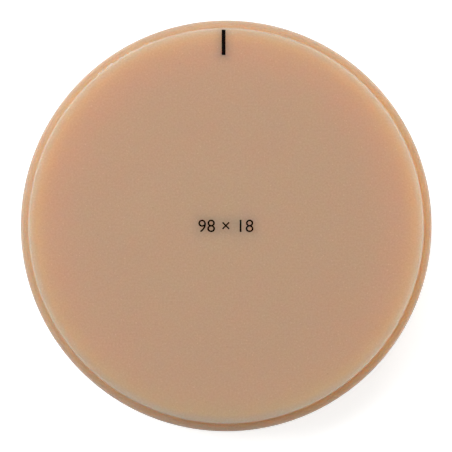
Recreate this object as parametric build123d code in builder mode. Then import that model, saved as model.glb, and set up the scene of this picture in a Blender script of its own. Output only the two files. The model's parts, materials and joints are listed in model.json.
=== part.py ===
"""A dental milling disc: one solid blank of tooth-coloured composite with a clamping collar.

The disc is turned all over from one pressed puck. A milling machine's holder grips the
collar between its two ledges, and crowns and bridges are cut out of the body. The disc lies
on its lower face, with +Z up and +Y towards the orientation mark printed on the upper face.
"""

import os

from build123d import *

# Driving dimensions, in millimetres
collar_diameter = 98.5
collar_height = 10.0
ledge_width = 2.0
step_height = 4.0
edge_break = 0.25
root_radius = 0.3

# Radii and levels that follow from them
collar_radius = collar_diameter / 2
body_radius = collar_radius - ledge_width
lower_ledge_z = step_height
upper_ledge_z = lower_ledge_z + collar_height
upper_face_z = upper_ledge_z + step_height

with BuildPart() as milling_disc:
    # Half section: the body's width below and above the collar, and the collar between
    with BuildSketch(Plane.XZ):
        with BuildLine():
            Polyline(
                (0, 0),
                (body_radius, 0),
                (body_radius, lower_ledge_z),
                (collar_radius, lower_ledge_z),
                (collar_radius, upper_ledge_z),
                (body_radius, upper_ledge_z),
                (body_radius, upper_face_z),
                (0, upper_face_z),
                close=True,
            )
        make_face()
    revolve(axis=Axis.Z)

    circles = milling_disc.edges().filter_by(GeomType.CIRCLE)
    body_circles, collar_rims = circles.group_by(SortBy.RADIUS)
    face_rims = body_circles.group_by(Axis.Z)[0] + body_circles.group_by(Axis.Z)[-1]
    roots = body_circles.group_by(Axis.Z)[1] + body_circles.group_by(Axis.Z)[2]

    # The tool's nose leaves a small radius where each ledge meets the body
    fillet(roots, radius=root_radius)

    # Every outer rim is broken, so that it doesn't chip when the disc is clamped
    chamfer(face_rims + collar_rims, length=edge_break)

milling_disc.part.label = "milling_disc"

os.makedirs("parts", exist_ok=True)
export_step(milling_disc.part, "parts/milling_disc.step")
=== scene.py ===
"""The looks of a dental milling disc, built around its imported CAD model.

The disc is one blank of translucent tooth-coloured composite. Its surface is remade here as
a finer mesh with real edges, in the same place as the CAD solid, and black ink lies on its
upper face. Everything is in metres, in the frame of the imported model: the disc lies on its
lower face, with +Z up and +Y towards the orientation mark.
"""

import json
import math
import random

import bmesh
import bpy
from bpy.props import FloatProperty, FloatVectorProperty, IntProperty, PointerProperty, StringProperty
from mathutils import Matrix, Vector, noise


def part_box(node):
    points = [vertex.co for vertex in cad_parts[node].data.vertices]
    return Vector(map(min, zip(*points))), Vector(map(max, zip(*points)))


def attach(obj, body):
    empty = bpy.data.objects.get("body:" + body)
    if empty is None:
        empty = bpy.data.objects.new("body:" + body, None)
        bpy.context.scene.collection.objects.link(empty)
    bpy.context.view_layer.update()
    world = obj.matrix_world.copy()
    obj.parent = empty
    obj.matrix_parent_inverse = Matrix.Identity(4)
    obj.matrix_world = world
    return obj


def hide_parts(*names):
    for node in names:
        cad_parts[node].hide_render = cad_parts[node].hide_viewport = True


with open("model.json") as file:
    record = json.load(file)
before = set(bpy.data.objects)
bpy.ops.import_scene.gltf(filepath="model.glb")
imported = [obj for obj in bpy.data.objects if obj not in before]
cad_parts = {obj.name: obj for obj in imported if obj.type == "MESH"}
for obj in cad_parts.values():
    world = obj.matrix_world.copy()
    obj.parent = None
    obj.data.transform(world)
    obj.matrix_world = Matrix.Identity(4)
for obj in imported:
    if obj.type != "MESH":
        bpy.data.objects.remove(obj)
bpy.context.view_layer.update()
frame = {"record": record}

bl_info = {
    "name": "Dental milling disc",
    "version": (1, 0, 0),
    "blender": (4, 5, 0),
    "location": "View3D > Sidebar > Milling disc",
    "description": "Builds the surface, print and studio of a dental milling disc",
    "category": "Object",
}

MM = 0.001
CAD_NODE = "milling_disc"
CAD_BODY = "root"

mounts = {mount["name"]: mount for mount in frame["record"]["mounts"]}

# The disc's section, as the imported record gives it
COLLAR_RADIUS = mounts["collar_rim"]["dims"]["r_mm"] * MM
BODY_RADIUS = mounts["upper_body"]["dims"]["r_mm"] * MM
LOWER_FACE_Z = mounts["lower_face"]["pos_m"][2]
LOWER_LEDGE_Z = mounts["lower_ledge"]["pos_m"][2]
UPPER_LEDGE_Z = mounts["upper_ledge"]["pos_m"][2]
UPPER_FACE_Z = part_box(CAD_NODE)[1].z
MIDDLE_Z = (LOWER_FACE_Z + UPPER_FACE_Z) / 2
COLLAR_HEIGHT = UPPER_LEDGE_Z - LOWER_LEDGE_Z
EDGE_BREAK = (COLLAR_HEIGHT - mounts["collar_rim"]["dims"]["length_mm"] * MM) / 2
BODY_STEP = UPPER_FACE_Z - UPPER_LEDGE_Z
ROOT_RADIUS = BODY_STEP - EDGE_BREAK - mounts["upper_body"]["dims"]["length_mm"] * MM

# Where the camera of the photograph stood, and the point that it looked at
CAMERA_PLACE = (0.016, 0.0, 1.338)
CAMERA_AIM = (-0.000022, -0.000029, 0.014)
CAMERA_LENS_MM = 440.1

# Marks of the cutter on the upper rim, as degrees from +X: single burrs, and the stretch
# where the edge chattered
BURR_ANGLES = (129.8, 128.3, 126.5, 125.3, 122.1, 120.3, 118.7, 114.3, 112.5)
BURR_HALF_WIDTH = 0.30 * MM
CHATTER_ARC = (math.radians(104.0), math.radians(137.0))
CHATTER_SEED = 5

# Small nicks in each rim, and the waves in the width of its edge break: how many of them go
# into a radius of the disc, and how strong the fast ones are beside the slow ones
NICKS_PER_RIM = 6
NICK_REACH = (0.3 * MM, 0.9 * MM)
NICK_SEED = 11
SLOW_WAVES = 5
FAST_WAVES = 60
FAST_WAVE_SHARE = 0.5

# The composite's finish. The scatter shares say how far red, green and blue light go into it,
# beside the scatter depth.
COMPOSITE_IOR = 1.52
COMPOSITE_SHINE = 0.3
SCATTER_SHARES = (1.0, 0.42, 0.22)
FACE_ROUGHNESS = 0.42
WALL_ROUGHNESS = 0.46
WORN_RIM_ROUGHNESS = 0.1
COMPOSITE_PATCHES = 0.35
COMPOSITE_GRAIN = 0.3 * MM
COMPOSITE_RELIEF = 0.008 * MM
SPECK_STRENGTH = 0.8

# Patches of another roughness, in every finish
PATCH_SIZE = 6 * MM

# Clouds in the composite: their size, how much of the noise they take, and the tints of the
# pinkish and the yellowish ones
CLOUD_SIZE = 14 * MM
CLOUD_MIDDLE = 0.50
CLOUD_SPREAD = 0.22
PINK_TINT = (1.035, 0.965, 0.955, 1.0)
YELLOW_TINT = (0.985, 1.015, 0.975, 1.0)

# The even grain in its colour: its size, where most of the noise lies, and how far each
# channel swings to either side
TINT_GRAIN = 0.45 * MM
TINT_GRAIN_ENDS = (0.25, 0.75)
TINT_SWINGS = (("Red", 0.070), ("Green", 0.100), ("Blue", 0.140))

# Light and dark specks of filler: their spacing, their size as a share of it, the share of
# the places that hold one, and their tint. A speck fades from its full core to its edge.
SPECK_CORE = 0.4
FILLER_SPECKS = (
    (0.7 * MM, 0.24, 0.50, (1.22, 1.26, 1.32, 1.0)),
    (2.2 * MM, 0.13, 0.22, (0.86, 0.82, 0.79, 1.0)),
)

# Bands of painted glow and painted shade near the rims: how wide the band at the very edge is,
# how much of the milky band is full, how close to its rim the collar's band is full, and where the rims
# are worn
EDGE_BAND = 0.8 * MM
FULL_MILKY_SHARE = 0.3
FULL_COLLAR_BAND = 0.1 * MM
WORN_RIM = (0.6 * MM, 0.1 * MM)

# Turning marks: the pitch of the rings, their strength, how far they waver and over what
# length, the share of the even rings, and how many uneven lines go to one of them
TURNING_PITCH = 0.18 * MM
TURNING_STRENGTH = 1.2
TURNING_WAVER = 0.12 * MM
TURNING_WAVER_SIZE = 9 * MM
TURNING_RING_SHARE = 0.35
TURNING_LINES = 2.3

# The walls of the lower half lie in the collar's shade and show less of the painted glow and shade near a
# rim.
# In the foot under the collar, light goes only this share of the way into the composite.
LOWER_WALL_BANDS = 0.15
FOOT_DEPTH = 0.15

# The ink's finish
INK_IOR = 1.45
INK_SHINE = 0.03
INK_ROUGHNESS = 0.55
INK_PATCHES = 0.5
INK_GRAIN = 0.12 * MM
INK_RELIEF = 0.01 * MM
INK_CLOUDS = 0.6

# How the meshes are divided
ARC_STEPS = 5
SUPPORT_WIDTH = 0.3 * MM
SMALLEST_RING = 16
RING_SHRINK = 0.62
OUTLINE_STEP = 0.10 * MM
RAGGED_SIZE = 0.16 * MM
RAGGED_SEED = 7
INK_SINK = 0.01 * MM

# The disc's materials in their order on it, and how many edge breaks the faces' material
# reaches along the walls, and the foot's past the lower ledge
FACE_MATERIAL = 0
WALL_MATERIAL = 1
FOOT_MATERIAL = 2
FACE_REACH = 1.2
FOOT_REACH = 0.05

# The row of numerals: how much its strokes are swollen, how smooth they are, its width over
# its height, and the strength of its painted shade beside that of the mark
NUMERAL_SWELL = 0.036
NUMERAL_SMOOTHNESS = 6
SAME_POINT = 0.00001
NUMERAL_ROW_SHARE = 4.4
NUMERAL_SHADE = 0.5

FLOOR_RADIUS = 4.0
FLOOR_SEGMENTS = 96
FLOOR_GAP = 0.02 * MM
FLOOR_GRAIN = 2 * MM
FLOOR_GRAIN_ENDS = (-0.1, 0.1)
FLOOR_DARKEST_GRAIN = 0.99
FLOOR_LIFT = 0.58
LAMP_DISTANCE = 0.95

# Each soft lamp: its name, the setting that holds its power, its azimuth and elevation in
# degrees, and its width and height in metres
SOFT_LAMPS = (
    ("back_lamp", "back_power", 90, 50, 0.8, 0.40),
    ("low_back_lamp", "back_low_power", 90, 16, 1.2, 0.35),
    ("left_lamp", "left_power", 158, 50, 0.6, 0.40),
    ("low_left_lamp", "left_low_power", 190, 16, 1.0, 0.35),
    ("low_right_lamp", "right_low_power", 0, 16, 1.0, 0.35),
)


class DiscShape(bpy.types.PropertyGroup):
    """Sizes of the disc's finer surface."""

    segments: IntProperty(
        name="Segments",
        description="Divisions round the rims, a power of two",
        default=1024,
        min=64,
        max=2048,
    )
    edge_waver: FloatProperty(
        name="Edge waver",
        description="How much the broken edges vary in width round the disc, as a share of that width",
        default=0.10,
        min=0.0,
        max=0.6,
        subtype="FACTOR",
    )
    nick_depth: FloatProperty(
        name="Nick depth",
        description="Depth of the small nicks that handling leaves in the rims",
        default=0.16 * MM,
        min=0.0,
        max=0.5 * MM,
        unit="LENGTH",
    )
    burr_height: FloatProperty(
        name="Burr height",
        description="How far the cutter's burrs stand out of the upper rim",
        default=0.42 * MM,
        min=0.0,
        max=0.6 * MM,
        unit="LENGTH",
    )
    chatter_depth: FloatProperty(
        name="Chatter depth",
        description="How far the edge strays where the cutter chattered",
        default=0.10 * MM,
        min=0.0,
        max=0.2 * MM,
        unit="LENGTH",
    )


class CompositeFinish(bpy.types.PropertyGroup):
    """Colours and depths of the translucent composite."""

    dentine: FloatVectorProperty(
        name="Dentine",
        description="Colour of the composite in the middle of a face",
        default=(0.488, 0.315, 0.200),
        size=3,
        min=0.0,
        max=1.0,
        subtype="COLOR",
    )
    # Painted glow: this band stands in for light that has come into the composite through the lit walls
    # and out near the rims.
    amber: FloatVectorProperty(
        name="Amber",
        description="Warmer colour in a band inside each rim, where light has come a long way",
        default=(0.468, 0.316, 0.195),
        size=3,
        min=0.0,
        max=1.0,
        subtype="COLOR",
    )
    # Painted shade and painted sheen: this greyer band holds back the glow that comes through the lit
    # walls at the rims, and gives them a pale sheen.
    milky: FloatVectorProperty(
        name="Milky",
        description="Paler colour of the outermost millimetre, where light comes straight out again",
        default=(0.408, 0.289, 0.216),
        size=3,
        min=0.0,
        max=1.0,
        subtype="COLOR",
    )
    # Painted shade: this duller band at the very edge of the bodies holds back the bright line that the
    # lamps and the glow make there.
    body_edge: FloatVectorProperty(
        name="Body edge",
        description="Duller colour at the very edge of the bodies, where light leaves on two sides",
        default=(0.352, 0.250, 0.190),
        size=3,
        min=0.0,
        max=1.0,
        subtype="COLOR",
    )
    ledge: FloatVectorProperty(
        name="Ledge",
        description="Colour of the turned walls and ledges",
        default=(0.487, 0.358, 0.233),
        size=3,
        min=0.0,
        max=1.0,
        subtype="COLOR",
    )
    # Painted shade: this duller, greyer band near the collar's rims holds back the glow that comes through
    # the lit walls there.
    collar_rim: FloatVectorProperty(
        name="Collar rim",
        description="Duller colour of the composite close to the collar's rims",
        default=(0.315, 0.232, 0.185),
        size=3,
        min=0.0,
        max=1.0,
        subtype="COLOR",
    )
    # The reaches of the bands of painted glow and painted shade
    amber_reach: FloatProperty(
        name="Amber reach",
        description="How far the warmer band reaches in from a rim",
        default=8.0 * MM,
        min=0.5 * MM,
        max=20.0 * MM,
        unit="LENGTH",
    )
    milky_reach: FloatProperty(
        name="Milky reach",
        description="How far the paler band reaches in from a rim",
        default=2.3 * MM,
        min=0.1 * MM,
        max=5.0 * MM,
        unit="LENGTH",
    )
    scatter_depth: FloatProperty(
        name="Scatter depth",
        description="How deep light goes into the composite",
        default=37.0 * MM,
        min=0.1 * MM,
        max=60.0 * MM,
        unit="LENGTH",
    )
    mottle: FloatProperty(
        name="Mottle",
        description="Strength of the pinkish and yellowish clouds",
        default=0.5,
        min=0.0,
        max=1.0,
        subtype="FACTOR",
    )


class InkFinish(bpy.types.PropertyGroup):
    """Sizes and colour of the print on the upper face."""

    ink: FloatVectorProperty(
        name="Ink",
        description="Colour of the print",
        default=(0.0018, 0.0010, 0.0008),
        size=3,
        min=0.0,
        max=1.0,
        subtype="COLOR",
    )
    thickness: FloatProperty(
        name="Thickness",
        description="How far the dried ink stands proud of the face",
        default=0.02 * MM,
        min=0.005 * MM,
        max=0.1 * MM,
        unit="LENGTH",
    )
    mark_width: FloatProperty(
        name="Mark width",
        description="Width of the orientation mark",
        default=0.905 * MM,
        min=0.2 * MM,
        max=3.0 * MM,
        unit="LENGTH",
    )
    mark_length: FloatProperty(
        name="Mark length",
        description="Length of the orientation mark",
        default=6.05 * MM,
        min=1.0 * MM,
        max=20.0 * MM,
        unit="LENGTH",
    )
    mark_margin: FloatProperty(
        name="Mark margin",
        description="Distance from the body's rim to the mark's outer end",
        default=0.37 * MM,
        min=0.0,
        max=10.0 * MM,
        unit="LENGTH",
    )
    mark_shift: FloatProperty(
        name="Mark shift",
        description="How far the mark stands off the disc's centre line, as the print isn't quite centred",
        default=-0.547 * MM,
        min=-3.0 * MM,
        max=3.0 * MM,
        unit="LENGTH",
    )
    numerals: StringProperty(
        name="Numerals",
        description="The disc's nominal diameter and height in millimetres",
        default="98 × 18",
    )
    numeral_height: FloatProperty(
        name="Numeral height",
        description="Height of the size numerals",
        default=3.0 * MM,
        min=1.0 * MM,
        max=10.0 * MM,
        unit="LENGTH",
    )
    # Painted shade: the composite beside the ink is darkened and greyed where the ink keeps light from
    # coming back up through it.
    shade: FloatVectorProperty(
        name="Shade",
        description="Tint of the composite right beside the ink, which keeps light from coming back",
        default=(0.76, 0.88, 0.93),
        size=3,
        min=0.0,
        max=1.0,
        subtype="COLOR",
    )
    shade_reach: FloatProperty(
        name="Shade reach",
        description="How far from the ink that tint fades out",
        default=3.0 * MM,
        min=0.1 * MM,
        max=10.0 * MM,
        unit="LENGTH",
    )
    ragged_edge: FloatProperty(
        name="Ragged edge",
        description="How far the ink's edge strays from its drawn line",
        default=0.035 * MM,
        min=0.0,
        max=0.2 * MM,
        unit="LENGTH",
    )


class StudioSetup(bpy.types.PropertyGroup):
    """Floor and light of the plain studio."""

    floor: FloatVectorProperty(
        name="Floor",
        description="Colour of the floor",
        default=(0.85, 0.85, 0.85),
        size=3,
        min=0.0,
        max=1.0,
        subtype="COLOR",
    )
    back_power: FloatProperty(
        name="High back light",
        description="Power of the high soft lamp beyond the orientation mark, in watts",
        default=3.2,
        min=0.0,
    )
    left_power: FloatProperty(
        name="High left light",
        description="Power of the high soft lamp on the left, in watts",
        default=5.6,
        min=0.0,
    )
    back_low_power: FloatProperty(
        name="Low back light",
        description="Power of the low soft lamp beyond the orientation mark, in watts",
        default=2.0,
        min=0.0,
    )
    left_low_power: FloatProperty(
        name="Low left light",
        description="Power of the low soft lamp on the left, in watts",
        default=2.4,
        min=0.0,
    )
    right_low_power: FloatProperty(
        name="Low right light",
        description="Power of the low soft lamp on the right, in watts",
        default=7.0,
        min=0.0,
    )
    sky_strength: FloatProperty(
        name="Sky strength",
        description="Strength of the even white light from all round",
        default=0.15,
        min=0.0,
    )


# Node helpers

def feed(tree, socket, value):
    """Links an output to a socket, or sets the socket's own value."""
    if isinstance(value, bpy.types.NodeSocket):
        tree.links.new(value, socket)
    else:
        socket.default_value = value


def calculate(tree, operation, *inputs, clamp=False):
    """The output of one Math node."""
    node = tree.nodes.new("ShaderNodeMath")
    node.operation = operation
    node.use_clamp = clamp
    for socket, value in zip(node.inputs, inputs):
        feed(tree, socket, value)
    return node.outputs["Value"]


def remap(tree, value, low, high, to_low=0.0, to_high=1.0, smooth=False):
    """The output of a Map Range node, held between its ends."""
    node = tree.nodes.new("ShaderNodeMapRange")
    node.interpolation_type = "SMOOTHSTEP" if smooth else "LINEAR"
    for name, setting in (
        ("Value", value),
        ("From Min", low),
        ("From Max", high),
        ("To Min", to_low),
        ("To Max", to_high),
    ):
        feed(tree, node.inputs[name], setting)
    return node.outputs["Result"]


def mix_colours(tree, factor, first, second, blend="MIX"):
    """The output of a colour Mix node."""
    node = tree.nodes.new("ShaderNodeMix")
    node.data_type = "RGBA"
    node.blend_type = blend
    shown = [socket for socket in node.inputs if socket.enabled]
    for socket, value in zip(shown, (factor, first, second)):
        feed(tree, socket, value)
    return next(socket for socket in node.outputs if socket.enabled)


def noise_at(tree, place, per_metre, detail, roughness=0.5):
    """A noise value with this many features to the metre."""
    node = tree.nodes.new("ShaderNodeTexNoise")
    feed(tree, node.inputs["Vector"], place)
    feed(tree, node.inputs["Scale"], per_metre)
    feed(tree, node.inputs["Detail"], detail)
    feed(tree, node.inputs["Roughness"], roughness)
    return node.outputs["Fac"]


def object_place(tree):
    """The point of the surface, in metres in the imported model's frame."""
    return tree.nodes.new("ShaderNodeTexCoord").outputs["Object"]


def split_place(tree):
    """The X, Y and Z of the point of the surface."""
    split = tree.nodes.new("ShaderNodeSeparateXYZ")
    feed(tree, split.inputs["Vector"], object_place(tree))
    return split.outputs


def length_of(tree, first, second):
    """The length of a line from how far it goes in two directions at right angles."""
    squares = [calculate(tree, "POWER", part, 2.0) for part in (first, second)]
    return calculate(tree, "SQRT", calculate(tree, "ADD", *squares))


def opaque(colour):
    """A colour with its alpha."""
    return (*colour, 1.0)


def new_group(name, inputs, outputs):
    """An empty shader node group, and the sockets inside it for its inputs and its outputs."""
    group = bpy.data.node_groups.new(name, "ShaderNodeTree")
    for label, kind, default in inputs:
        socket = group.interface.new_socket(label, in_out="INPUT", socket_type=kind)
        socket.default_value = default
    for label, kind in outputs:
        group.interface.new_socket(label, in_out="OUTPUT", socket_type=kind)
    given = group.nodes.new("NodeGroupInput").outputs
    made = group.nodes.new("NodeGroupOutput").inputs
    return group, given, made


def use_group(tree, group, **values):
    """Places a group in a tree and feeds its inputs, whose names have spaces for underscores."""
    node = tree.nodes.new("ShaderNodeGroup")
    node.node_tree = group
    for name, value in values.items():
        feed(tree, node.inputs[name.replace("_", " ")], value)
    return node.outputs


# Effects that are used more than once

def fine_grain_group():
    """A close grain, as a height for bump and as a small change of roughness."""
    name = "Fine grain"
    if name in bpy.data.node_groups:
        return bpy.data.node_groups[name]
    group, given, made = new_group(
        name,
        (("Grains per metre", "NodeSocketFloat", 3000.0), ("Strength", "NodeSocketFloat", 0.5)),
        (("Height", "NodeSocketFloat"), ("Roughness change", "NodeSocketFloat")),
    )
    place = object_place(group)
    grain = noise_at(group, place, given["Grains per metre"], detail=3.0, roughness=0.6)
    centred = calculate(group, "SUBTRACT", grain, 0.5)
    height = calculate(group, "MULTIPLY", centred, given["Strength"])
    feed(group, made["Height"], height)
    patches = noise_at(group, place, 1 / PATCH_SIZE, detail=4.0, roughness=0.6)
    patch_change = calculate(group, "SUBTRACT", patches, 0.5)
    feed(group, made["Roughness change"], calculate(group, "MULTIPLY", patch_change, given["Strength"]))
    return group


def cloudy_tint_group():
    """Soft pinkish and yellowish clouds over a colour, with a fine even grain in it."""
    name = "Cloudy tint"
    if name in bpy.data.node_groups:
        return bpy.data.node_groups[name]
    group, given, made = new_group(
        name,
        (("Colour", "NodeSocketColor", (0.5, 0.5, 0.5, 1.0)), ("Strength", "NodeSocketFloat", 0.5)),
        (("Colour", "NodeSocketColor"),),
    )
    place = object_place(group)
    clouds = noise_at(group, place, 1 / CLOUD_SIZE, detail=3.0, roughness=0.55)
    pink_share = remap(group, clouds, CLOUD_MIDDLE, CLOUD_MIDDLE + CLOUD_SPREAD)
    yellow_share = remap(group, clouds, CLOUD_MIDDLE, CLOUD_MIDDLE - CLOUD_SPREAD)
    pink_share = calculate(group, "MULTIPLY", pink_share, given["Strength"])
    yellow_share = calculate(group, "MULTIPLY", yellow_share, given["Strength"])
    pink = mix_colours(group, pink_share, given["Colour"], PINK_TINT, blend="MULTIPLY")
    both = mix_colours(group, yellow_share, pink, YELLOW_TINT, blend="MULTIPLY")
    grain = noise_at(group, place, 1 / TINT_GRAIN, detail=2.0, roughness=0.7)
    shade = group.nodes.new("ShaderNodeCombineColor")
    for channel, swing in TINT_SWINGS:
        feed(group, shade.inputs[channel], remap(group, grain, *TINT_GRAIN_ENDS, 1 - swing, 1 + swing))
    grained = mix_colours(group, 1.0, both, shade.outputs["Color"], blend="MULTIPLY")
    feed(group, made["Colour"], grained)
    return group


def filler_specks_group():
    """Single light and dark specks of filler over a colour."""
    name = "Filler specks"
    if name in bpy.data.node_groups:
        return bpy.data.node_groups[name]
    group, given, made = new_group(
        name,
        (("Colour", "NodeSocketColor", (0.5, 0.5, 0.5, 1.0)), ("Strength", "NodeSocketFloat", 0.5)),
        (("Colour", "NodeSocketColor"),),
    )
    place = object_place(group)
    colour = given["Colour"]
    for spacing, size_share, share, tint in FILLER_SPECKS:
        cells = group.nodes.new("ShaderNodeTexVoronoi")
        feed(group, cells.inputs["Vector"], place)
        feed(group, cells.inputs["Scale"], 1 / spacing)
        near = remap(group, cells.outputs["Distance"], size_share, size_share * SPECK_CORE)
        split = group.nodes.new("ShaderNodeSeparateColor")
        feed(group, split.inputs["Color"], cells.outputs["Color"])
        chosen = calculate(group, "LESS_THAN", split.outputs["Red"], share)
        mask = calculate(group, "MULTIPLY", near, chosen)
        faint = calculate(group, "MULTIPLY", mask, split.outputs["Green"])
        amount = calculate(group, "MULTIPLY", faint, given["Strength"])
        colour = mix_colours(group, amount, colour, tint, blend="MULTIPLY")
    feed(group, made["Colour"], colour)
    return group


def rim_bands_group():
    """How much painted glow and painted shade the composite's colour takes at a point, from its distances
    to the rims.
    """
    name = "Rim bands"
    if name in bpy.data.node_groups:
        return bpy.data.node_groups[name]
    group, given, made = new_group(
        name,
        (
            ("Milky reach", "NodeSocketFloat", 2.3 * MM),
            ("Amber reach", "NodeSocketFloat", 8 * MM),
            ("Lower half", "NodeSocketFloat", 1.0),
        ),
        tuple((label, "NodeSocketFloat") for label in ("Milky", "Amber", "Edge", "Collar", "Rim")),
    )
    point = split_place(group)
    radius = length_of(group, point["X"], point["Y"])
    above_middle = calculate(group, "SUBTRACT", point["Z"], MIDDLE_Z)
    height = calculate(group, "ABSOLUTE", above_middle)
    distances = []
    for rim_radius, rim_height in (
        (BODY_RADIUS, UPPER_FACE_Z - MIDDLE_Z),
        (COLLAR_RADIUS, UPPER_LEDGE_Z - MIDDLE_Z),
    ):
        across = calculate(group, "SUBTRACT", radius, rim_radius)
        along = calculate(group, "SUBTRACT", height, rim_height)
        distances.append(length_of(group, across, along))
    to_body_rim, to_collar_rim = distances
    # The painted glow and shade are full on the upper half and weaker on the lower half, which gets less
    # light.
    upper_half = calculate(group, "GREATER_THAN", above_middle, 0.0)
    shown = calculate(group, "MAXIMUM", upper_half, given["Lower half"])
    full_milky = calculate(group, "MULTIPLY", given["Milky reach"], FULL_MILKY_SHARE)
    for label, distance, reach, full, smooth in (
        ("Milky", to_body_rim, given["Milky reach"], full_milky, True),
        ("Amber", to_body_rim, given["Amber reach"], given["Milky reach"], True),
        ("Edge", to_body_rim, EDGE_BAND, 0.0, False),
        ("Collar", to_collar_rim, given["Milky reach"], FULL_COLLAR_BAND, True),
    ):
        band = remap(group, distance, reach, full, smooth=smooth)
        feed(group, made[label], calculate(group, "MULTIPLY", band, shown))
    nearest = calculate(group, "MINIMUM", to_body_rim, to_collar_rim)
    feed(group, made["Rim"], remap(group, nearest, *WORN_RIM))
    return group


def ink_shade_group():
    """How much painted shade a point of the upper face takes from a block of ink: one beside it and nought
    out of reach.
    """
    name = "Ink shade"
    if name in bpy.data.node_groups:
        return bpy.data.node_groups[name]
    labels = ("Centre X", "Centre Y", "Half width", "Half length", "Reach")
    group, given, made = new_group(
        name,
        tuple((label, "NodeSocketFloat", 3 * MM) for label in labels),
        (("Shade", "NodeSocketFloat"),),
    )
    point = split_place(group)
    past_edges = []
    for axis, centre, half in (("X", "Centre X", "Half width"), ("Y", "Centre Y", "Half length")):
        offset = calculate(group, "SUBTRACT", point[axis], given[centre])
        past_edge = calculate(group, "SUBTRACT", calculate(group, "ABSOLUTE", offset), given[half])
        past_edges.append(calculate(group, "MAXIMUM", past_edge, 0.0))
    distance = length_of(group, *past_edges)
    near = remap(group, distance, given["Reach"], 0.0)
    falling = calculate(group, "POWER", near, 2.0)
    on_top = calculate(group, "GREATER_THAN", point["Z"], MIDDLE_Z)
    feed(group, made["Shade"], calculate(group, "MULTIPLY", falling, on_top))
    return group


def turning_marks_group():
    """The close rings that a lathe leaves, on walls and ledges alike."""
    name = "Turning marks"
    if name in bpy.data.node_groups:
        return bpy.data.node_groups[name]
    group, given, made = new_group(
        name,
        (("Pitch", "NodeSocketFloat", 0.2 * MM), ("Strength", "NodeSocketFloat", 0.5)),
        (("Height", "NodeSocketFloat"),),
    )
    point = split_place(group)
    along = calculate(group, "ADD", length_of(group, point["X"], point["Y"]), point["Z"])
    waver = noise_at(group, object_place(group), 1 / TURNING_WAVER_SIZE, detail=1.0)
    waver = calculate(group, "MULTIPLY", waver, TURNING_WAVER)
    along = calculate(group, "ADD", along, waver)
    turns = calculate(group, "DIVIDE", along, given["Pitch"])
    ring = calculate(group, "SINE", calculate(group, "MULTIPLY", turns, 2 * math.pi))
    lines = group.nodes.new("ShaderNodeTexNoise")
    lines.noise_dimensions = "1D"
    feed(group, lines.inputs["W"], calculate(group, "MULTIPLY", turns, TURNING_LINES))
    feed(group, lines.inputs["Detail"], 2.0)
    uneven = calculate(group, "SUBTRACT", lines.outputs["Fac"], 0.5)
    both = calculate(group, "ADD", calculate(group, "MULTIPLY", ring, TURNING_RING_SHARE), uneven)
    feed(group, made["Height"], calculate(group, "MULTIPLY", both, given["Strength"]))
    return group


# Materials

def new_material(name):
    """A material with a bare Principled shader, and that shader."""
    material = bpy.data.materials.new(name)
    material.use_nodes = True
    tree = material.node_tree
    tree.nodes.clear()
    shader = tree.nodes.new("ShaderNodeBsdfPrincipled")
    output = tree.nodes.new("ShaderNodeOutputMaterial")
    tree.links.new(shader.outputs["BSDF"], output.inputs["Surface"])
    return material, tree, shader


def bump(tree, shader, height, depth):
    """Gives a shader a bump of this depth in metres."""
    node = tree.nodes.new("ShaderNodeBump")
    node.inputs["Distance"].default_value = depth
    node.inputs["Strength"].default_value = 1.0
    feed(tree, node.inputs["Height"], height)
    tree.links.new(node.outputs["Normal"], shader.inputs["Normal"])


def mark_centre_y(ink):
    """Where the middle of the orientation mark lies along Y."""
    return BODY_RADIUS - ink.mark_margin - ink.mark_length / 2


def shade_beside_ink(tree, colour, ink):
    """Paints shade into the composite's colour round the orientation mark and the row of numerals."""
    numeral_half_width = ink.numeral_height * NUMERAL_ROW_SHARE / 2
    for centre_x, centre_y, half_width, half_length, strength in (
        (ink.mark_shift, mark_centre_y(ink), ink.mark_width / 2, ink.mark_length / 2, 1.0),
        (0.0, 0.0, numeral_half_width, ink.numeral_height / 2, NUMERAL_SHADE),
    ):
        shade = use_group(
            tree,
            ink_shade_group(),
            Centre_X=centre_x,
            Centre_Y=centre_y,
            Half_width=half_width,
            Half_length=half_length,
            Reach=ink.shade_reach,
        )
        amount = calculate(tree, "MULTIPLY", shade["Shade"], strength)
        colour = mix_colours(tree, amount, colour, opaque(ink.shade), blend="MULTIPLY")
    return colour


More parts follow.
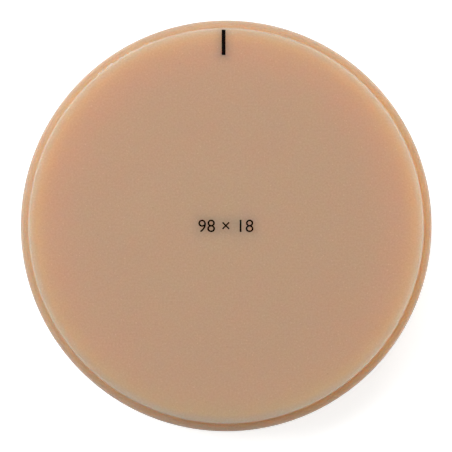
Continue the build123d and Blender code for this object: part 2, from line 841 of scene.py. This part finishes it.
def composite_material(name, finish, ink, base_roughness, turned, depth_share=1.0):
    """Tooth-coloured composite: cloudy, specked and translucent, with painted glow and painted shade near
    a rim, and painted shade beside the ink on its faces.
    """
    material, tree, shader = new_material(name)
    bands = use_group(
        tree,
        rim_bands_group(),
        Milky_reach=finish.milky_reach,
        Amber_reach=finish.amber_reach,
        Lower_half=LOWER_WALL_BANDS if turned else 1.0,
    )
    # The rim bands paint glow and shade into the colour near the rims, and the faces also get painted
    # shade beside the ink.
    warm = opaque(finish.ledge)
    if not turned:
        warm = mix_colours(tree, bands["Amber"], opaque(finish.dentine), opaque(finish.amber))
    pale = mix_colours(tree, bands["Milky"], warm, opaque(finish.milky))
    edged = mix_colours(tree, bands["Edge"], pale, opaque(finish.body_edge))
    dull = mix_colours(tree, bands["Collar"], edged, opaque(finish.collar_rim))
    shaded = dull if turned else shade_beside_ink(tree, dull, ink)
    cloudy = use_group(tree, cloudy_tint_group(), Colour=shaded, Strength=finish.mottle)
    specked = use_group(tree, filler_specks_group(), Colour=cloudy["Colour"], Strength=SPECK_STRENGTH)
    tree.links.new(specked["Colour"], shader.inputs["Base Color"])

    grain = use_group(tree, fine_grain_group(), Grains_per_metre=1 / COMPOSITE_GRAIN, Strength=1.0)
    change = calculate(tree, "MULTIPLY", grain["Roughness change"], COMPOSITE_PATCHES)
    roughness = calculate(tree, "ADD", change, base_roughness)
    worn = calculate(tree, "MULTIPLY", bands["Rim"], WORN_RIM_ROUGHNESS)
    tree.links.new(calculate(tree, "ADD", roughness, worn), shader.inputs["Roughness"])

    height = grain["Height"]
    if turned:
        marks = use_group(tree, turning_marks_group(), Pitch=TURNING_PITCH, Strength=TURNING_STRENGTH)
        height = calculate(tree, "ADD", height, marks["Height"])
    bump(tree, shader, height, COMPOSITE_RELIEF)

    shader.inputs["IOR"].default_value = COMPOSITE_IOR
    shader.inputs["Specular IOR Level"].default_value = COMPOSITE_SHINE
    shader.inputs["Subsurface Weight"].default_value = 1.0
    shader.inputs["Subsurface Radius"].default_value = SCATTER_SHARES
    shader.inputs["Subsurface Scale"].default_value = finish.scatter_depth * depth_share
    return material


def ink_material(finish):
    """Dry black ink with a fine grain, a little uneven in how much it shines."""
    name = "Black ink"
    if name in bpy.data.materials:
        return bpy.data.materials[name]
    material, tree, shader = new_material(name)
    cloudy = use_group(tree, cloudy_tint_group(), Colour=opaque(finish.ink), Strength=INK_CLOUDS)
    specked = use_group(tree, filler_specks_group(), Colour=cloudy["Colour"], Strength=1.0)
    tree.links.new(specked["Colour"], shader.inputs["Base Color"])
    grain = use_group(tree, fine_grain_group(), Grains_per_metre=1 / INK_GRAIN, Strength=1.0)
    change = calculate(tree, "MULTIPLY", grain["Roughness change"], INK_PATCHES)
    tree.links.new(calculate(tree, "ADD", change, INK_ROUGHNESS), shader.inputs["Roughness"])
    bump(tree, shader, grain["Height"], INK_RELIEF)
    shader.inputs["IOR"].default_value = INK_IOR
    shader.inputs["Specular IOR Level"].default_value = INK_SHINE
    return material


# Shapes

def new_piece(name, mesh, material_list):
    """Puts a mesh in the scene as a piece that rides on the disc's body."""
    piece = bpy.data.objects.new(name, mesh)
    bpy.context.scene.collection.objects.link(piece)
    for material in material_list:
        mesh.materials.append(material)
    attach(piece, CAD_BODY)
    return piece


def disc_profile():
    """The section from the lower face to the upper one, as (corner, way) pairs of one ring each.

    A ring lies at its corner plus its way times the width of the edge break there. Rings
    away from an edge have a way of nought. Each entry also names its rim, or None.
    """
    rings = []

    def plain(radius, z):
        rings.append(((radius, z), (0.0, 0.0), None))

    def broken_edge(rim, corner, start, end):
        """A rounded break at a corner, from the side that start points along to end's side."""
        reach = EDGE_BREAK + SUPPORT_WIDTH
        plain(corner[0] + start[0] * reach, corner[1] + start[1] * reach)
        for step in range(ARC_STEPS + 1):
            turn = step / ARC_STEPS * math.pi / 2
            back_to_start = 1 - math.sin(turn)
            back_to_end = 1 - math.cos(turn)
            way = (
                start[0] * back_to_start + end[0] * back_to_end,
                start[1] * back_to_start + end[1] * back_to_end,
            )
            rings.append((corner, way, rim))
        plain(corner[0] + end[0] * reach, corner[1] + end[1] * reach)

    def root(corner, wall, ledge):
        """The small radius in the corner between a wall and a ledge, seen as going from wall to ledge."""
        for step in range(ARC_STEPS + 1):
            turn = step / ARC_STEPS * math.pi / 2
            from_wall = 1 - math.sin(turn)
            from_ledge = 1 - math.cos(turn)
            plain(
                corner[0] + (wall[0] * from_wall + ledge[0] * from_ledge) * ROOT_RADIUS,
                corner[1] + (wall[1] * from_wall + ledge[1] * from_ledge) * ROOT_RADIUS,
            )

    inward, outward, down, up = (-1.0, 0.0), (1.0, 0.0), (0.0, -1.0), (0.0, 1.0)
    broken_edge("lower_body", (BODY_RADIUS, LOWER_FACE_Z), inward, up)
    root((BODY_RADIUS, LOWER_LEDGE_Z), down, outward)
    broken_edge("lower_collar", (COLLAR_RADIUS, LOWER_LEDGE_Z), inward, up)
    plain(COLLAR_RADIUS, MIDDLE_Z)
    broken_edge("upper_collar", (COLLAR_RADIUS, UPPER_LEDGE_Z), down, inward)
    root((BODY_RADIUS, UPPER_LEDGE_Z), outward, up)
    broken_edge("upper_body", (BODY_RADIUS, UPPER_FACE_Z), down, inward)
    return rings


def uneven_widths(shape):
    """The width of the edge break at each division of each rim, in metres."""
    chance = random.Random(NICK_SEED)
    widths = {}
    for number, rim in enumerate(("lower_body", "lower_collar", "upper_collar", "upper_body")):
        nicks = []
        for _ in range(NICKS_PER_RIM):
            angle = chance.uniform(0, 2 * math.pi)
            reach = chance.uniform(*NICK_REACH) / BODY_RADIUS
            nicks.append((angle, reach, chance.uniform(0.3, 1.0) * shape.nick_depth))
        row = []
        for step in range(shape.segments):
            angle = step / shape.segments * 2 * math.pi
            round_way = Vector((math.cos(angle), math.sin(angle), number))
            slow = noise.noise(round_way * SLOW_WAVES)
            fast = noise.noise(round_way * FAST_WAVES)
            width = EDGE_BREAK * (1 + shape.edge_waver * (slow + FAST_WAVE_SHARE * fast))
            for nick_angle, reach, depth in nicks:
                away = abs((angle - nick_angle + math.pi) % (2 * math.pi) - math.pi) / reach
                width += depth * max(0.0, 1 - away * away)
            row.append(width)
        widths[rim] = row
    return widths


def burr_reach(shape):
    """How far the burrs stand out of the upper body rim at each of its divisions, in metres."""
    chance = random.Random(CHATTER_SEED)
    row = []
    for step in range(shape.segments):
        angle = step / shape.segments * 2 * math.pi
        reach = 0.0
        for burr_angle in BURR_ANGLES:
            away = abs(angle - math.radians(burr_angle)) * BODY_RADIUS / BURR_HALF_WIDTH
            reach += shape.burr_height * max(0.0, 1 - away * away)
        start, end = CHATTER_ARC
        if start < angle < end:
            fade = math.sin((angle - start) / (end - start) * math.pi)
            reach += shape.chatter_depth * fade * chance.uniform(-1.0, 1.0)
        row.append(reach)
    return row


def close_face(model, ring, z, upwards):
    """Fills a ring with rings that halve their divisions on the way in, down to a small fan."""
    radius = ring[0].co.xy.length
    while len(ring) > SMALLEST_RING:
        radius *= RING_SHRINK
        count = len(ring) // 2
        inner = []
        for step in range(count):
            angle = step / count * 2 * math.pi
            inner.append(model.verts.new((radius * math.cos(angle), radius * math.sin(angle), z)))
        for step in range(count):
            first, middle, last = ring[2 * step], ring[2 * step + 1], ring[(2 * step + 2) % len(ring)]
            near, far = inner[step], inner[(step + 1) % count]
            for corners in ((first, middle, near), (middle, far, near), (middle, last, far)):
                model.faces.new(corners if upwards else corners[::-1])
        ring = inner
    centre = model.verts.new((0.0, 0.0, z))
    for step, vertex in enumerate(ring):
        corners = (vertex, ring[(step + 1) % len(ring)], centre)
        model.faces.new(corners if upwards else corners[::-1])


def material_at(height):
    """Which of the disc's materials a face of its surface has, from how high it lies."""
    if height <= LOWER_FACE_Z + EDGE_BREAK * FACE_REACH:
        return FACE_MATERIAL
    if height < LOWER_LEDGE_Z + EDGE_BREAK * FOOT_REACH:
        return FOOT_MATERIAL
    if height < UPPER_FACE_Z - EDGE_BREAK * FACE_REACH:
        return WALL_MATERIAL
    return FACE_MATERIAL


def disc_mesh(shape):
    """The whole surface of the disc, turned from its section, with real edges."""
    widths = uneven_widths(shape)
    burrs = burr_reach(shape)
    model = bmesh.new()
    rings = []
    for corner, way, rim in disc_profile():
        ring = []
        for step in range(shape.segments):
            angle = step / shape.segments * 2 * math.pi
            width = widths[rim][step] if rim else 0.0
            radius = corner[0] + way[0] * width
            z = corner[1] + way[1] * width
            if rim == "upper_body":
                radius += burrs[step] * (1 + way[0])
            ring.append(model.verts.new((radius * math.cos(angle), radius * math.sin(angle), z)))
        rings.append(ring)
    for lower, upper in zip(rings, rings[1:]):
        for step in range(shape.segments):
            after = (step + 1) % shape.segments
            model.faces.new((lower[step], lower[after], upper[after], upper[step]))
    close_face(model, rings[0], LOWER_FACE_Z, upwards=False)
    close_face(model, rings[-1], UPPER_FACE_Z, upwards=True)
    for face in model.faces:
        face.smooth = True
        face.material_index = material_at(face.calc_center_median().z)
    mesh = bpy.data.meshes.new("disc_surface")
    model.to_mesh(mesh)
    model.free()
    return mesh


def ink_solid(name, outlines, ink):
    """A thin closed solid of ink on the upper face, filled from closed outlines with ragged edges."""
    noise.seed_set(RAGGED_SEED)
    model = bmesh.new()
    for outline in outlines:
        corners = [Vector((x, y, UPPER_FACE_Z - INK_SINK)) for x, y in outline]
        points = []
        for start, end in zip(corners, corners[1:] + corners[:1]):
            steps = max(1, math.ceil((end - start).length / OUTLINE_STEP))
            points += [start.lerp(end, step / steps) for step in range(steps)]
        vertices = []
        for point in points:
            stray = noise.noise_vector(point / RAGGED_SIZE) * ink.ragged_edge
            vertices.append(model.verts.new((point.x + stray.x, point.y + stray.y, point.z)))
        for start, end in zip(vertices, vertices[1:] + vertices[:1]):
            model.edges.new((start, end))
    bmesh.ops.triangle_fill(model, edges=model.edges[:], use_beauty=True, normal=(0.0, 0.0, 1.0))
    lower_faces = model.faces[:]
    outer_edges = [edge for edge in model.edges if edge.is_boundary]
    lift = Vector((0.0, 0.0, INK_SINK + ink.thickness))
    above = {vertex: model.verts.new(vertex.co + lift) for vertex in model.verts[:]}
    for face in lower_faces:
        model.faces.new([above[vertex] for vertex in face.verts])
    for edge in outer_edges:
        start, end = edge.verts
        model.faces.new((start, end, above[end], above[start]))
    bmesh.ops.recalc_face_normals(model, faces=model.faces[:])
    mesh = bpy.data.meshes.new(name)
    model.to_mesh(mesh)
    model.free()
    return mesh


def closed_loops(model):
    """The closed outlines in a mesh of bare edges, each as its points in order."""
    loops = []
    unseen = set(model.verts)
    while unseen:
        vertex = min(unseen, key=lambda v: v.index)
        loop = []
        while vertex:
            unseen.discard(vertex)
            loop.append((vertex.co.x, vertex.co.y))
            following = [edge.other_vert(vertex) for edge in vertex.link_edges]
            vertex = next((v for v in following if v in unseen), None)
        loops.append(loop)
    return loops


def text_outlines(words, height):
    """The closed outlines of a line of numerals of this height, centred on the disc's middle."""
    curve = bpy.data.curves.new("numeral_lines", "FONT")
    curve.body = words
    curve.size = 1.0
    curve.resolution_u = NUMERAL_SMOOTHNESS
    curve.offset = NUMERAL_SWELL
    curve.fill_mode = "NONE"
    holder = bpy.data.objects.new("numeral_lines", curve)
    bpy.context.scene.collection.objects.link(holder)
    bpy.context.view_layer.update()
    drawn = bpy.data.meshes.new_from_object(holder.evaluated_get(bpy.context.evaluated_depsgraph_get()))
    model = bmesh.new()
    model.from_mesh(drawn)
    bmesh.ops.remove_doubles(model, verts=model.verts[:], dist=SAME_POINT)
    loops = closed_loops(model)
    model.free()
    bpy.data.objects.remove(holder)
    bpy.data.meshes.remove(drawn)
    across = [x for loop in loops for x, y in loop]
    upward = [y for loop in loops for x, y in loop]
    scale = height / (max(upward) - min(upward))
    middle = (min(across) + max(across)) / 2, (min(upward) + max(upward)) / 2
    return [[((x - middle[0]) * scale, (y - middle[1]) * scale) for x, y in loop] for loop in loops]


# Stage

def floor_material(studio):
    """A pale floor that shows white where it is lit and keeps the object's shadow."""
    material, tree, shader = new_material("Studio floor")
    grain = use_group(tree, fine_grain_group(), Grains_per_metre=1 / FLOOR_GRAIN, Strength=0.3)
    shade = remap(tree, grain["Height"], *FLOOR_GRAIN_ENDS, FLOOR_DARKEST_GRAIN, 1.0)
    colour = mix_colours(tree, shade, (0.0, 0.0, 0.0, 1.0), opaque(studio.floor))
    tree.links.new(colour, shader.inputs["Base Color"])
    shader.inputs["Roughness"].default_value = 0.9
    shader.inputs["Specular IOR Level"].default_value = 0.2
    seen = seen_directly(tree)
    shader.inputs["Emission Color"].default_value = (1.0, 1.0, 1.0, 1.0)
    tree.links.new(calculate(tree, "MULTIPLY", seen, FLOOR_LIFT), shader.inputs["Emission Strength"])
    return material


def seen_directly(tree):
    """One for rays that the camera sees, by itself, in a reflection or through glass."""
    path = tree.nodes.new("ShaderNodeLightPath").outputs
    direct = calculate(tree, "ADD", path["Is Camera Ray"], path["Is Glossy Ray"], clamp=True)
    return calculate(tree, "ADD", direct, path["Is Transmission Ray"], clamp=True)


def build_floor(studio):
    """A round floor, just under the disc."""
    model = bmesh.new()
    bmesh.ops.create_circle(model, cap_ends=True, segments=FLOOR_SEGMENTS, radius=FLOOR_RADIUS)
    bmesh.ops.translate(model, verts=model.verts[:], vec=(0.0, 0.0, LOWER_FACE_Z - FLOOR_GAP))
    mesh = bpy.data.meshes.new("floor")
    model.to_mesh(mesh)
    model.free()
    mesh.materials.append(floor_material(studio))
    floor = bpy.data.objects.new("floor", mesh)
    bpy.context.scene.collection.objects.link(floor)


def build_sky(studio):
    """Even white light from all round, which the camera sees as plain white."""
    sky = bpy.data.worlds.new("Studio sky")
    bpy.context.scene.world = sky
    sky.use_nodes = True
    tree = sky.node_tree
    tree.nodes.clear()
    background = tree.nodes.new("ShaderNodeBackground")
    output = tree.nodes.new("ShaderNodeOutputWorld")
    strength = remap(tree, seen_directly(tree), 0.0, 1.0, studio.sky_strength, 1.0)
    tree.links.new(strength, background.inputs["Strength"])
    tree.links.new(background.outputs["Background"], output.inputs["Surface"])


def soft_lamp(name, azimuth, elevation, width, height, power):
    """A rectangular soft lamp that the camera doesn't see, aimed at the disc from this direction."""
    turn, rise = math.radians(azimuth), math.radians(elevation)
    way = Vector((math.cos(turn) * math.cos(rise), math.sin(turn) * math.cos(rise), math.sin(rise)))
    light = bpy.data.lights.new(name, "AREA")
    light.shape = "RECTANGLE"
    light.size = width
    light.size_y = height
    light.energy = power
    lamp = bpy.data.objects.new(name, light)
    lamp.location = Vector((0.0, 0.0, MIDDLE_Z)) + way * LAMP_DISTANCE
    lamp.rotation_euler = way.to_track_quat("Z", "Y").to_euler()
    lamp.visible_camera = False
    bpy.context.scene.collection.objects.link(lamp)


def build_camera():
    """The photograph's camera: far above the disc and a little off to its right."""
    camera_data = bpy.data.cameras.new("photo_camera")
    camera_data.lens = CAMERA_LENS_MM
    camera_data.sensor_width = 36.0
    camera_data.clip_start = 0.05
    camera_data.clip_end = 20.0
    camera = bpy.data.objects.new("photo_camera", camera_data)
    place, aim = Vector(CAMERA_PLACE), Vector(CAMERA_AIM)
    back = (place - aim).normalized()
    right = Vector((0.0, 1.0, 0.0)).cross(back).normalized()
    upward = back.cross(right)
    turned = Matrix((right, upward, back)).transposed()
    camera.matrix_world = Matrix.Translation(place) @ turned.to_4x4()
    bpy.context.scene.collection.objects.link(camera)
    bpy.context.scene.camera = camera


# Operators

class MILLING_DISC_OT_body(bpy.types.Operator):
    """Build the disc's surface, in the place of its CAD solid"""

    bl_idname = "milling_disc.body"
    bl_label = "Disc body"

    def execute(self, context):
        shape = context.scene.milling_disc_shape
        finish = context.scene.milling_disc_composite
        ink = context.scene.milling_disc_ink
        faces = composite_material("Composite face", finish, ink, FACE_ROUGHNESS, turned=False)
        walls = composite_material("Composite turned wall", finish, ink, WALL_ROUGHNESS, turned=True)
        foot = composite_material(
            "Composite foot", finish, ink, WALL_ROUGHNESS, turned=True, depth_share=FOOT_DEPTH
        )
        disc = new_piece("disc_body", disc_mesh(shape), (faces, walls, foot))
        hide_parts(CAD_NODE)
        return {"FINISHED"}


class MILLING_DISC_OT_mark(bpy.types.Operator):
    """Print the orientation mark near the rim of the upper face"""

    bl_idname = "milling_disc.mark"
    bl_label = "Orientation mark"

    def execute(self, context):
        ink = context.scene.milling_disc_ink
        outer_end = mark_centre_y(ink) + ink.mark_length / 2
        inner_end = mark_centre_y(ink) - ink.mark_length / 2
        left = ink.mark_shift - ink.mark_width / 2
        right = ink.mark_shift + ink.mark_width / 2
        outline = ((left, inner_end), (right, inner_end), (right, outer_end), (left, outer_end))
        mesh = ink_solid("orientation_mark", [outline], ink)
        new_piece("orientation_mark", mesh, (ink_material(ink),))
        return {"FINISHED"}


class MILLING_DISC_OT_numerals(bpy.types.Operator):
    """Print the disc's nominal size as plain numerals in the middle of the upper face"""

    bl_idname = "milling_disc.numerals"
    bl_label = "Size numerals"

    def execute(self, context):
        ink = context.scene.milling_disc_ink
        outlines = text_outlines(ink.numerals, ink.numeral_height)
        mesh = ink_solid("size_numerals", outlines, ink)
        new_piece("size_numerals", mesh, (ink_material(ink),))
        return {"FINISHED"}


class MILLING_DISC_OT_stage(bpy.types.Operator):
    """Set up the floor, the light and the photograph's camera"""

    bl_idname = "milling_disc.stage"
    bl_label = "Studio"

    def execute(self, context):
        studio = context.scene.milling_disc_studio
        context.scene.view_settings.view_transform = "Standard"
        build_floor(studio)
        build_sky(studio)
        build_camera()
        for name, power, azimuth, elevation, width, height in SOFT_LAMPS:
            soft_lamp(name, azimuth, elevation, width, height, getattr(studio, power))
        return {"FINISHED"}


class MILLING_DISC_PT_panel(bpy.types.Panel):
    """Lists the disc's pieces and their settings"""

    bl_idname = "MILLING_DISC_PT_panel"
    bl_label = "Milling disc"
    bl_space_type = "VIEW_3D"
    bl_region_type = "UI"
    bl_category = "Milling disc"

    def draw(self, context):
        for title, settings, operators in (
            ("Disc", context.scene.milling_disc_shape, ()),
            ("Composite", context.scene.milling_disc_composite, ("milling_disc.body",)),
            ("Ink", context.scene.milling_disc_ink, ("milling_disc.mark", "milling_disc.numerals")),
            ("Studio", context.scene.milling_disc_studio, ("milling_disc.stage",)),
        ):
            box = self.layout.box()
            box.label(text=title)
            for name in settings.__annotations__:
                box.prop(settings, name)
            for operator in operators:
                box.operator(operator)


CLASSES = (
    DiscShape,
    CompositeFinish,
    InkFinish,
    StudioSetup,
    MILLING_DISC_OT_body,
    MILLING_DISC_OT_mark,
    MILLING_DISC_OT_numerals,
    MILLING_DISC_OT_stage,
    MILLING_DISC_PT_panel,
)


def register():
    """Adds the settings, the operators and the panel to Blender."""
    for item in CLASSES:
        bpy.utils.register_class(item)
    bpy.types.Scene.milling_disc_shape = PointerProperty(type=DiscShape)
    bpy.types.Scene.milling_disc_composite = PointerProperty(type=CompositeFinish)
    bpy.types.Scene.milling_disc_ink = PointerProperty(type=InkFinish)
    bpy.types.Scene.milling_disc_studio = PointerProperty(type=StudioSetup)


def unregister():
    """Takes the settings, the operators and the panel out of Blender again."""
    del bpy.types.Scene.milling_disc_studio
    del bpy.types.Scene.milling_disc_ink
    del bpy.types.Scene.milling_disc_composite
    del bpy.types.Scene.milling_disc_shape
    for item in reversed(CLASSES):
        bpy.utils.unregister_class(item)


def main():
    """Builds the disc, its print and the studio."""
    register()
    bpy.ops.milling_disc.body()
    bpy.ops.milling_disc.mark()
    bpy.ops.milling_disc.numerals()
    bpy.ops.milling_disc.stage()


if __name__ == "__main__":
    main()
